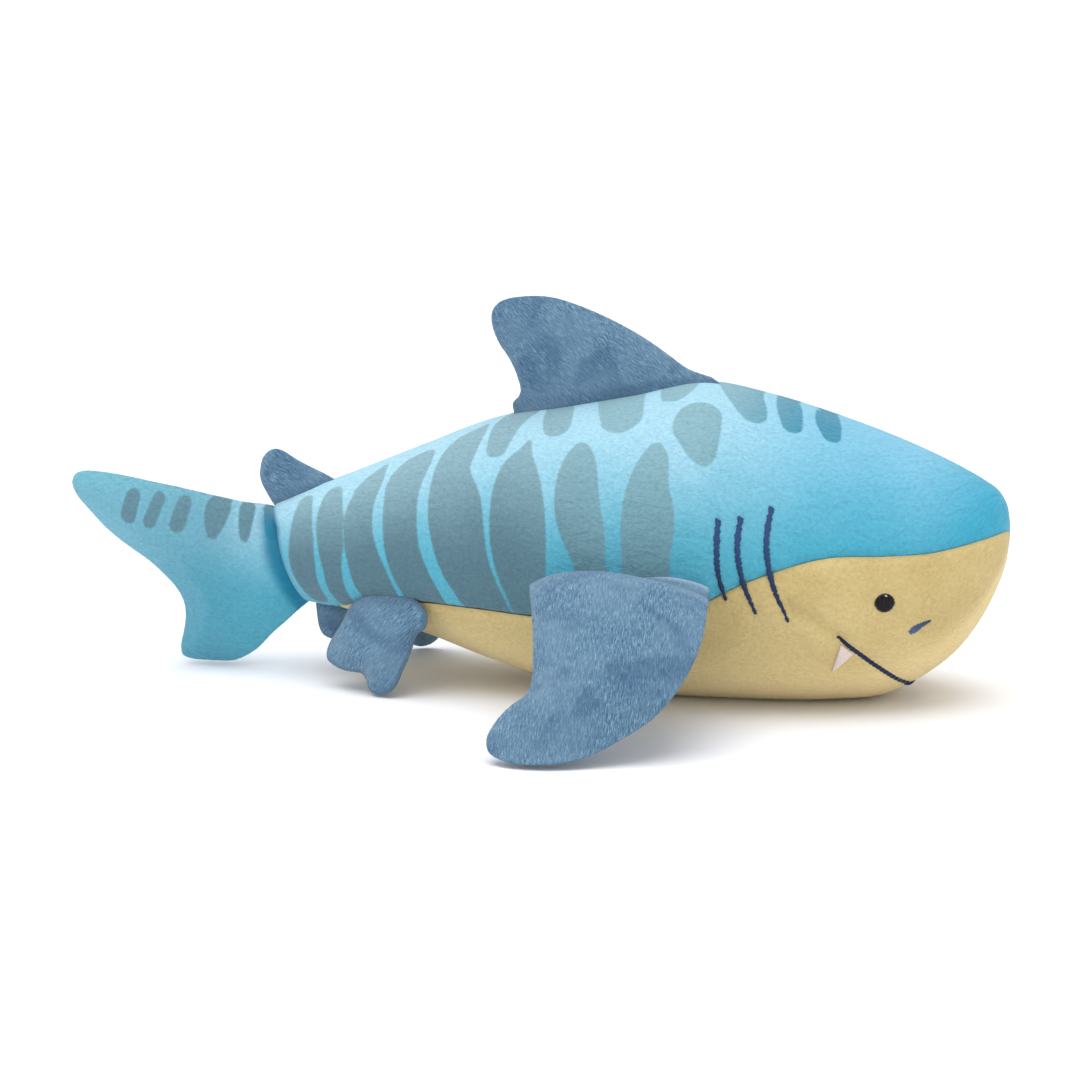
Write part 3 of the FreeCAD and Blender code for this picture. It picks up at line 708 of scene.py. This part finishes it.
def inside(points, polygon):
    """Which points lie inside a closed polygon."""
    odd = np.zeros(len(points), bool)
    for a, b in zip(polygon, np.roll(polygon, -1, axis=0)):
        crosses = (a[1] > points[:, 1]) != (b[1] > points[:, 1])
        with np.errstate(divide="ignore", invalid="ignore"):
            at = (b[0] - a[0]) * (points[:, 1] - a[1]) / (b[1] - a[1]) + a[0]
        odd ^= crosses & (points[:, 0] < at)
    return odd


def edge_distance(points, polygon):
    """Distance from each point to a closed polygon's edge."""
    best = np.full(len(points), 1e9)
    for a, b in zip(polygon, np.roll(polygon, -1, axis=0)):
        step = b - a
        t = np.clip(((points - a) @ step) / (step @ step), 0.0, 1.0)
        best = np.minimum(best, np.linalg.norm(points - a - t[:, None] * step, axis=1))
    return best


def stuffed_pad(outline, thickness, spacing):
    """Two sheets sewn round an outline, pillow shaped: points, faces, fabric places, edge distance."""
    flat, faces, distance = pad_mesh(outline, spacing)
    count = len(flat)
    within = distance >= SEWN
    other = np.where(within, count + np.cumsum(within) - 1, np.arange(count))
    height = thickness * (1.0 - np.exp(-((distance / (thickness * 1.15)) ** 1.15)))
    points = np.vstack([np.column_stack([flat, height]), np.column_stack([flat, -height])[within]])
    sheets = faces + [tuple(other[i] for i in reversed(f)) for f in faces]
    sheet = np.r_[np.zeros(count), np.full(within.sum(), 300.0)]
    fabric = np.column_stack([np.vstack([flat, flat[within]]), sheet])
    return points, sheets, fabric, np.r_[distance, distance[within]]


def inflate(points, faces, held, cap):
    """Let air pressure swell a sewn pad, holding some of its points; none moves further than cap."""
    mesh = bpy.data.meshes.new("swelling")
    mesh.from_pydata((points * MM * SIM_SCALE).tolist(), [], faces)
    obj = bpy.data.objects.new("swelling", mesh)
    bpy.context.scene.collection.objects.link(obj)
    group = obj.vertex_groups.new(name="held")
    group.add([int(i) for i in held], 1.0, "REPLACE")
    modifier = obj.modifiers.new("cloth", "CLOTH")
    for key, value in CLOTH.items():
        setattr(modifier.settings, key, value)
    modifier.settings.effector_weights.gravity = 0.0
    modifier.settings.vertex_group_mass = "held"
    modifier.collision_settings.use_collision = False
    modifier.point_cache.frame_start = 1
    modifier.point_cache.frame_end = SIM_FRAMES + 2
    scene = bpy.context.scene
    for number in range(1, SIM_FRAMES + 1):
        scene.frame_set(number)
    evaluated = obj.evaluated_get(bpy.context.evaluated_depsgraph_get())
    moved = np.empty(len(points) * 3, np.float32)
    evaluated.data.vertices.foreach_get("co", moved)
    moved = moved.reshape(-1, 3).astype(float) / MM / SIM_SCALE
    scene.frame_set(1)
    bpy.data.objects.remove(obj)
    bpy.data.meshes.remove(mesh)
    step = moved - points
    length = np.linalg.norm(step, axis=1, keepdims=True)
    return points + step * np.minimum(1.0, cap / np.maximum(length, 1e-6))


def pad_shape(outline, thickness, spacing, root):
    """Points, faces and fabric places of a stuffed pad; root picks the edge points that are held."""
    points, faces, fabric, distance = stuffed_pad(outline, thickness, spacing)
    held = np.flatnonzero((distance < SEWN) & root(points))
    swollen = inflate(points * np.array([1.0, 1.0, 0.7]), faces, held, thickness)
    points = refit(swollen, points, thickness)
    return points, faces, fabric


def fin_root(points):
    """The points of a fin that are sewn into the torso."""
    return points[:, 1] < 0.0


def tail_root(points):
    """The points of the tail that are sewn to the torso."""
    return (points[:, 0] > -118.0) & (points[:, 1] > 31.0)


def refit(swollen, cut, thickness):
    """Keep most of the cut outline and bring the swollen pad to its finished thickness."""
    fitted = cut + (swollen - cut) * KEPT_MOTION
    deepest = np.percentile(np.abs(swollen[:, 2]), 97)
    fitted[:, 2] = KEPT_SWELLING * swollen[:, 2] * thickness / deepest + (1.0 - KEPT_SWELLING) * cut[:, 2]
    return fitted


def square_to(direction, along):
    """The direction made square to a seam, at length one."""
    direction = np.array(direction, float)
    return unit(direction - along * (direction @ along))


def place_flat(points, root, lift, out):
    """Flat fin coordinates (along the root, out from it, across the sheet) to the row frame."""
    start, end = np.array(root[0]), np.array(root[1])
    along = unit(end - start)
    out = square_to(out, along)
    hinge = start + square_to(lift, along) * AXIS_LIFT
    return hinge + points @ np.array([along, out, np.cross(along, out)])


def fold_lines(points):
    """Crest and hollow masks, 0 to 1, of the soft fold beside the front root of the pectoral fin; they
    shape the fold and also place its painted highlight and painted shade.
    """
    across = points[:, 1] - 9.0 - 0.12 * (points[:, 0] - 50.0)
    reach = smoothstep(40.0, 75.0, points[:, 0]) * (points[:, 2] > 0)
    return np.exp(-((across / 3.6) ** 2)) * reach, np.exp(-(((across - 10.0) / 6.0) ** 2)) * reach


def place_arch(points):
    """Flat pectoral coordinates to the row frame, bent over the arch."""
    arch = spline(PECTORAL_ARCH, 400)
    gaps = np.linalg.norm(np.diff(arch, axis=0), axis=1)
    length = np.concatenate([[0.0], np.cumsum(gaps)]) - ARCH_START
    tangent = np.gradient(arch, axis=0)
    tangent /= np.linalg.norm(tangent, axis=1, keepdims=True)
    v = np.clip(points[:, 1], length[0], length[-1])
    y, z, ty, tz = (np.interp(v, length, values) for values in (*arch.T, *tangent.T))
    skew = smoothstep(35.0, 0.0, points[:, 1]) * -0.0986 * (points[:, 0] - 50.0)
    ridge_and_highlight, valley_and_shade = fold_lines(points)
    rise = 4.6 * ridge_and_highlight - 3.0 * valley_and_shade
    y, z = y + tz * rise, z - ty * rise
    return np.stack([points[:, 0], y + skew + tz * points[:, 2], z - ty * points[:, 2]], 1)


def fin(name, shape, place, root_span, nodes, mirror=False, brush=0.0):
    """One stuffed fin, its root sunk into the torso; brush is the tilt of its pile in degrees."""
    points, faces, fabric = shape
    placed = place(points)
    if mirror:
        placed, faces = mirrored(placed, faces)
        root_span = np.array(root_span) * FLIP
    placed[:, 2] = np.maximum(placed[:, 2], FLOOR_GAP)
    turn = math.radians(brush)
    along = fabric[:, 0] * math.cos(turn) - fabric[:, 1] * math.sin(turn)
    across = fabric[:, 0] * math.sin(turn) + fabric[:, 1] * math.cos(turn)
    ridge_and_highlight, valley_and_shade = fold_lines(points) if place is place_arch else (np.zeros(len(points)), 0.0)
    attributes = {
        "flat": np.column_stack([along, across, fabric[:, 2]]),
        # Painted shade by the root seam and in the pectoral fold's hollow.
        "crease_shade": np.exp(-np.maximum(points[:, 1], 0.0) / 2.0) * 0.35 + valley_and_shade * 0.5,
        # Painted highlight on the pectoral fold's crest.
        "ridge_and_highlight": ridge_and_highlight,
    }
    obj = new_mesh(name + "_skin", placed, faces, DENIM, attributes)
    subdivide(obj)
    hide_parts(*nodes)
    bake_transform(obj)


def subdivide(obj):
    """One smooth subdivision, applied."""
    modifier = obj.modifiers.new("smooth", "SUBSURF")
    modifier.levels = 1
    modifier.render_levels = 1
    modifier.subdivision_type = "CATMULL_CLARK"
    evaluated = obj.evaluated_get(bpy.context.evaluated_depsgraph_get())
    mesh = bpy.data.meshes.new_from_object(evaluated)
    obj.modifiers.clear()
    old = obj.data
    obj.data = mesh
    bpy.data.meshes.remove(old)
    obj.data.shade_smooth()


def panels_of(name, sides, seam):
    """The CAD nodes that a fin's skin stands for."""
    return [name + "_panel_" + sides[0], name + "_panel_" + sides[1], name + "_stuffing", seam]


def build_single_fins():
    """The three fins on the middle line: two on the back, one below."""
    up, down = (0.0, 0.0, 1.0), (0.0, 0.0, -1.0)
    singles = (
        ("dorsal", DORSAL, 8.4, 2.6, DORSAL_ROOT, up),
        ("rear_dorsal", REAR_DORSAL, 4.6, 1.8, REAR_DORSAL_ROOT, up),
        ("anal", ANAL, 3.8, 1.6, ANAL_ROOT, down),
    )
    for kind, outline, thickness, spacing, root, way in singles:
        rear, front = np.array(root[0]), np.array(root[1])
        out = square_to(way, unit(front - rear))
        middle = (rear + front) / 2.0
        span = (middle + out * (AXIS_LIFT - 3.0), middle + out * (AXIS_LIFT + 9.0))
        name = kind + "_fin"
        shape = pad_shape(outline, thickness, spacing, fin_root)
        nodes = panels_of(name, ("right", "left"), kind + "_root_seam")
        fin(name, shape, lambda p, r=root, w=way: place_flat(p, r, w, w), span, nodes, brush=-38.0)


def build_paired_fins():
    """The pelvic and pectoral fins; each pair shares one shape."""
    shape = pad_shape(PELVIC, PELVIC_THICK, MEDIUM, fin_root)
    hang = unit(PELVIC_HANG)
    start = (np.array(PELVIC_ROOT[0]) + np.array(PELVIC_ROOT[1])) / 2.0 + unit(PELVIC_LIFT) * AXIS_LIFT
    span = (start - hang * 2.0, start + hang * 9.0)
    for side, mirror in SIDES:
        name = "pelvic_fin_" + side
        nodes = panels_of(name, ("inner", "outer"), "pelvic_root_seam_" + side)
        fin(name, shape, place_pelvic, span, nodes, mirror, -35.0)
    shape = pad_shape(PECTORAL, PECTORAL_THICK, COARSE, fin_root)
    for side, mirror in SIDES:
        name = "pectoral_fin_" + side
        nodes = panels_of(name, ("lower", "upper"), "pectoral_root_seam_" + side)
        fin(name, shape, place_arch, PECTORAL_SPAN, nodes, mirror)


def place_pelvic(points):
    """Flat pelvic coordinates to the row frame."""
    return place_flat(points, PELVIC_ROOT, PELVIC_LIFT, PELVIC_HANG)


def build_tail():
    """The tail: one stuffed pad in the plane Y = 0."""
    points, faces, fabric = pad_shape(TAIL, TAIL_THICK, COARSE, tail_root)
    placed = np.stack([points[:, 0], -points[:, 2], np.maximum(points[:, 1], FLOOR_GAP)], 1)
    behind = TAIL_X - crease_back(points[:, 1]) - points[:, 0]
    attributes = {
        "flat": fabric + np.array([0.0, 0.0, 900.0]),
        "high": smoothstep(20.0, 86.0, points[:, 1]),
        "ahead": points[:, 0],
        "stripe": stripe_distance(points[:, :2], TAIL_STRIPES, 1.0),
        # Painted shade on the tail next to the torso's end.
        "crease_shade": smoothstep(11.0, 2.0, behind) * smoothstep(78.0, 64.0, points[:, 1]),
    }
    obj = new_mesh("tail_skin", placed, faces, BLUE, attributes)
    subdivide(obj)
    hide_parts("tail_panel_right", "tail_panel_left", "tail_stuffing", "tail_root_seam")
    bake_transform(obj)


# ---- embroidery
SURFACE_ANGLES = np.radians(np.arange(1.0, 180.0, 0.5))
SURFACE_ROWS = np.repeat(ROWS[:, None, :], len(SURFACE_ANGLES), axis=1)
SURFACE = skin(SURFACE_ROWS, np.repeat(SURFACE_ANGLES[None, :], len(ROWS), axis=0))
SURFACE_XZ = SURFACE[..., [0, 2]].reshape(-1, 2)
SURFACE_Y = SURFACE[..., 1].ravel()


def on_skin(x, z):
    """Point on the torso's right side with this x and z, and the outward normal there."""
    slope_x = (skin_y(x + 2.0, z) - skin_y(x - 2.0, z)) / 4.0
    slope_z = (skin_y(x, z + 2.0) - skin_y(x, z - 2.0)) / 4.0
    return np.array([x, skin_y(x, z), z]), unit((slope_x, -1.0, slope_z))


def skin_y(x, z):
    """How far out the torso's right side is at x and z, from the six nearest surface points."""
    gap = (SURFACE_XZ[:, 0] - x) ** 2 + (SURFACE_XZ[:, 1] - z) ** 2
    near = np.argpartition(gap, 6)[:6]
    weight = 1.0 / (gap[near] + 0.02)
    return float((SURFACE_Y[near] * weight).sum() / weight.sum())


class Stitches:
    """Satin stitches gathered into one object that rides the torso."""

    def __init__(self):
        self.vertices, self.faces, self.tint, self.flat = [], [], [], []

    def add(self, start, end, normal, radius, lift, tint, run, climb=0.0, rings=5):
        """One stitch: a flattened tube that dives into the fabric at both ends."""
        along = unit(end - start)
        across = unit(np.cross(normal, along))
        base = len(self.vertices)
        for i in range(rings):
            t = i / (rings - 1)
            arch = math.sin(math.pi * (0.08 + 0.84 * t))
            centre = start + (end - start) * t + normal * (lift * arch - 0.25)
            size = radius * (0.55 + 0.45 * arch)
            for k in range(STITCH_SIDES):
                angle = 2 * math.pi * k / STITCH_SIDES
                sideways, outward = math.cos(angle) * size, math.sin(angle) * size * 0.8
                self.vertices.append(centre + across * sideways + normal * outward)
        count = rings * STITCH_SIDES
        faces = grid_faces(rings, STITCH_SIDES, wrap=True)
        faces.append(tuple(reversed(range(STITCH_SIDES))))
        faces.append(tuple(range(count - STITCH_SIDES, count)))
        self.faces.extend([tuple(i + base for i in face) for face in faces])
        self.tint.extend([tint] * count)
        self.flat.extend([(k % STITCH_SIDES, run, k / STITCH_SIDES * climb) for k in range(count)])

    def finish(self, name, material, slot, nodes, mirror=False):
        """Make the stitches an object that stands for the given CAD nodes."""
        vertices, faces = np.array(self.vertices), self.faces
        if mirror:
            vertices, faces = mirrored(vertices, faces)
        obj = new_mesh(name, vertices, faces, material, {"tint": self.tint, "flat": self.flat})
        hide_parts(*nodes)
        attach(obj, "torso")


def stitched_line(line, pitch, slant, tint_top, lift, rough):
    """A row of satin stitches across a tapering centre line on the right side."""
    centre = spline(line, 60)
    gaps = np.linalg.norm(np.diff(centre[:, :2], axis=0), axis=1)
    run = np.concatenate([[0.0], np.cumsum(gaps)])
    stitches = Stitches()
    rng = np.random.default_rng(7)
    for at in np.arange(0.0, run[-1], pitch):
        x, z, width = (np.interp(at, run, centre[:, k]) for k in range(3))
        ahead = np.array([np.interp(at + 0.5, run, centre[:, k]) for k in range(2)])
        behind = np.array([np.interp(at - 0.5, run, centre[:, k]) for k in range(2)])
        way = unit(ahead - behind)
        side = np.array([-way[1], way[0]]) + way * slant
        half = side * width * 0.5 * (1.0 + rng.uniform(-rough, rough * 0.8))
        start, _ = on_skin(x + half[0], z + half[1])
        end, _ = on_skin(x - half[0], z - half[1])
        _, normal = on_skin(x, z)
        rise = lift + rng.uniform(-0.06, 0.06)
        tint = tint_top * (1.0 - at / run[-1])
        stitches.add(start, end, normal, pitch * STITCH_RADIUS, rise, tint, at * 3.0)
    return stitches


def satin_disc(centre, radius, pitch, lift):
    """A satin-stitched round patch: parallel stitches clipped to a circle."""
    stitches = Stitches()
    for offset in np.arange(-radius + pitch / 2, radius, pitch):
        x = centre[0] + offset
        reach = math.sqrt(max(radius**2 - offset**2, 0.0))
        start, _ = on_skin(x, centre[1] + reach)
        end, _ = on_skin(x, centre[1] - reach)
        _, normal = on_skin(x, centre[1])
        rise = lift * (0.45 + 0.55 * reach / radius)
        stitches.add(start, end, normal, pitch * STITCH_RADIUS, rise, 0.4, offset, climb=1.0, rings=9)
    return stitches


def under_snout(corner):
    """The mouth line between its two corners, across the underside: points, normals and widths."""
    bridge = []
    angles = np.radians(np.arange(0.0, 70.0, 0.5))
    for t in np.linspace(0.0, 1.0, 60)[1:-1]:
        y = corner[1] * (1.0 - 2.0 * t)
        x = corner[0] + 2.2 * math.sin(math.pi * t)
        row = np.array([np.interp(x, ROWS[:, 0], ROWS[:, k]) for k in range(5)])
        ring = section(np.repeat(row[None, :], len(angles), axis=0), angles)
        z = np.interp(abs(y), -ring[:, 1], ring[:, 2])
        normal = unit((0.35, 0.25 * np.sign(y) * min(abs(y) / 20, 1), -0.9))
        bridge.append((np.array([x, y, z]), normal, 2.4))
    return bridge


def build_mouth():
    """The mouth line from corner to corner under the snout."""
    right = [(*on_skin(x, z), width) for x, z, width in spline(MOUTH, 120)]
    left = [(p * FLIP, n * FLIP, w) for p, n, w in reversed(right)]
    path = np.array([(*p, *n, w) for p, n, w in right + under_snout(right[-1][0]) + left])
    run = np.concatenate([[0.0], np.cumsum(np.linalg.norm(np.diff(path[:, :3], axis=0), axis=1))])

    def at_run(value):
        return np.array([np.interp(value, run, column) for column in path.T])

    stitches = Stitches()
    for at in np.arange(0.0, run[-1], 0.42):
        here = at_run(at)
        place, normal, width = here[:3], unit(here[3:6]), here[6]
        way = unit(at_run(at + 0.6)[:3] - at_run(at - 0.6)[:3])
        half = (unit(np.cross(normal, way)) + way * 0.5) * width / 2
        stitches.add(place + half, place - half, normal, 0.3, 0.7, 0.2, at * 3.0)
    stitches.finish("mouth_satin", MOUTH_NAVY, "navy_thread", ["mouth_stitching"])


def build_tooth(side, mirror):
    """A small felt triangle hanging from the mouth line: two layers of a triangular grid and a rim."""
    corners = np.array(TOOTH)
    count = TOOTH_STEPS
    vertices, flat, faces, index = [], [], [], {}
    for layer, lift in enumerate(TOOTH_LIFTS):
        for i in range(count + 1):
            for j in range(count + 1 - i):
                a, b = i / count, j / count
                p = corners[0] * (1 - a - b) + corners[1] * a + corners[2] * b
                rounding = min(min(a, b, 1 - a - b) * 5.4, 1.0)
                height = lift * (0.72 + 0.28 * rounding) if layer else lift
                point, normal = on_skin(*p)
                index[(layer, i, j)] = len(vertices)
                vertices.append(point + normal * height)
                flat.append((p[0], p[1], lift))
    for layer in (0, 1):
        for i in range(count):
            for j in range(count - i):
                corner_sets = [((i, j), (i + 1, j), (i, j + 1))]
                if j < count - i - 1:
                    corner_sets.append(((i + 1, j), (i + 1, j + 1), (i, j + 1)))
                for places in corner_sets:
                    triangle = [index[(layer, *place)] for place in places]
                    faces.append(tuple(triangle if layer else reversed(triangle)))
    steps = range(count)
    rim = [(i, 0) for i in steps] + [(count - j, j) for j in steps] + [(0, count - j) for j in steps]
    for a, b in zip(rim, rim[1:] + rim[:1]):
        faces.append((index[(0, *a)], index[(0, *b)], index[(1, *b)], index[(1, *a)]))
    vertices = np.array(vertices)
    if mirror:
        vertices, faces = mirrored(vertices, faces)
    obj = new_mesh("tooth_" + side + "_felt", vertices, faces, FELT, {"flat": flat}, smooth=False)
    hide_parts("tooth_" + side)
    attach(obj, "torso")


def build_face():
    """Gills, nostrils, eyes, teeth and mouth."""
    for side, mirror in SIDES:
        for name, line in GILLS.items():
            node = name + "_" + side
            gill = stitched_line(line, 0.95, 0.5, 1.0, 0.75, 0.3)
            gill.finish(node + "_satin", NAVY, "navy_thread", [node], mirror)
        nostril = stitched_line(NOSTRIL, 0.5, 0.2, 0.8, 0.6, 0.05)
        node = "nostril_" + side
        nostril.finish(node + "_satin", NOSTRIL_BLUE, "navy_thread", [node], mirror)
        eye = satin_disc(EYE[:2], EYE[2], 0.42, 1.0)
        eye.finish("eye_" + side + "_satin", BLACK, "black_thread", ["eye_" + side], mirror)
        for number, spot in enumerate(GLINTS):
            glint = satin_disc(spot, 0.5, 0.35, 1.5)
            glint_name = "eye_" + side + "_glint_" + str(number)
            glint.finish(glint_name, GLINT, "navy_thread", ["eye_" + side], mirror)
        build_tooth(side, mirror)
    build_mouth()


# ---- floor and light
def build_stage():
    """Floor, lights and camera."""
    size = FLOOR_HALF_SIZE
    corners = [(-size, -size, 0), (size, -size, 0), (size, size, 0), (-size, size, 0)]
    floor = new_mesh("floor", corners, [(0, 1, 2, 3)], floor_paper())
    world = bpy.data.worlds.new("world")
    world.use_nodes = True
    world.node_tree.nodes["Background"].inputs[0].default_value = (1.0, 1.0, 1.0, 1.0)
    world.node_tree.nodes["Background"].inputs[1].default_value = WORLD_STRENGTH
    bpy.context.scene.world = world
    sun = bpy.data.lights.new("overhead", "SUN")
    sun.energy = SUN_STRENGTH
    sun.angle = math.radians(SUN_WIDTH)
    overhead = bpy.data.objects.new("overhead", sun)
    bpy.context.scene.collection.objects.link(overhead)
    overhead.location = (-0.2, -0.1, 2.0)
    aim(overhead, (0.0, 0.0, 0.0))
    camera = bpy.data.objects.new("camera", bpy.data.cameras.new("camera"))
    bpy.context.scene.collection.objects.link(camera)
    camera.data.lens = LENS
    camera.data.sensor_width = 36.0
    camera.data.dof.use_dof = False
    camera.location = CAMERA_PLACE
    aim(camera, CAMERA_TARGET)
    bpy.context.scene.camera = camera
    bpy.context.scene.view_settings.view_transform = "Standard"


def aim(obj, target):
    """Turn an object's -Z axis towards a point."""
    direction = Vector(target) - obj.location
    obj.rotation_euler = direction.to_track_quat("-Z", "Y").to_euler()


build_torso()
build_single_fins()
build_paired_fins()
build_tail()
build_face()
build_stage()
